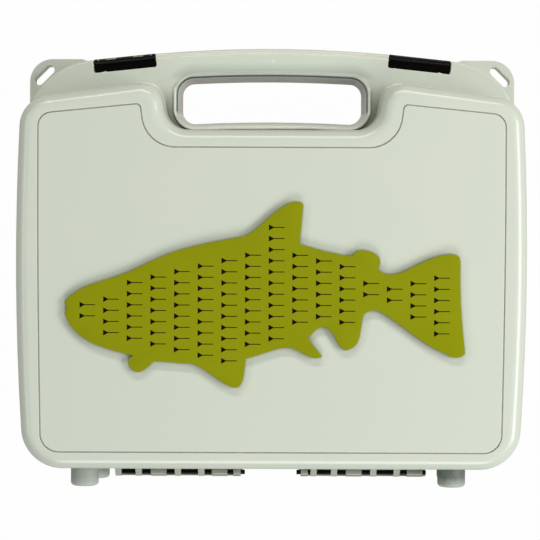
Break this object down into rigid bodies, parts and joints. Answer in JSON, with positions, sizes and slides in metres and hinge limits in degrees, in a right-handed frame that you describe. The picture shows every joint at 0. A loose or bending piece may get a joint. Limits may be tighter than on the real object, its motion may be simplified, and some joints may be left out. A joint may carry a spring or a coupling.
{
  "type": "fly fishing boat box",
  "caption": "Moulded clamshell case for fishing flies with a carrying handle, hinged lid, snap latches, tie-down ears, foam liners and a trout-shaped fly patch.",
  "frame": {"origin": "middle of the bounding box in X and Y, at the flat outside of the base", "axes": "the case lies flat: +X along the width, +Y towards the handle and latches, +Z from the base up to the lid"},
  "size_m": [0.3524, 0.3012, 0.093],
  "materials": {
    "shell": "glossy",
    "seal": "matte",
    "foam": "matte",
    "foot": "matte",
    "latch": "satin",
    "latch_pin": "satin",
    "hinge_pin": "satin",
    "patch_foam": "matte",
    "patch_backing": "matte"
  },
  "bodies": {
    "base": {"base_shell": "shell", "base_foam": "foam", "hinge_pin_left": "hinge_pin", "hinge_pin_right": "hinge_pin", "base_foot_left": "foot", "base_foot_right": "foot"},
    "lid": {"lid_shell": "shell", "lid_seal": "seal", "lid_foam": "foam", "fly_patch": "patch_foam", "fly_patch_backing": "patch_backing", "latch_pin_left": "latch_pin", "latch_pin_right": "latch_pin", "lid_foot_left": "foot", "lid_foot_right": "foot"},
    "latch_left": {"latch_left": "latch"},
    "latch_right": {"latch_right": "latch"}
  },
  "joints": [
    {"name": "lid_hinge", "type": "hinge", "parent": "base", "child": "lid", "pos_m": [0, -0.1438, 0.0445], "axis": [1, 0, 0], "range_deg": [0, 110]},
    {"name": "latch_left_pivot", "type": "hinge", "parent": "lid", "child": "latch_left", "pos_m": [-0.10184, 0.14017, 0.0535], "axis": [0.9945, 0.1045, 0], "range_deg": [0, 100]},
    {"name": "latch_right_pivot", "type": "hinge", "parent": "lid", "child": "latch_right", "pos_m": [0.10184, 0.14017, 0.0535], "axis": [0.9945, -0.1045, 0], "range_deg": [0, 100]}
  ]
}
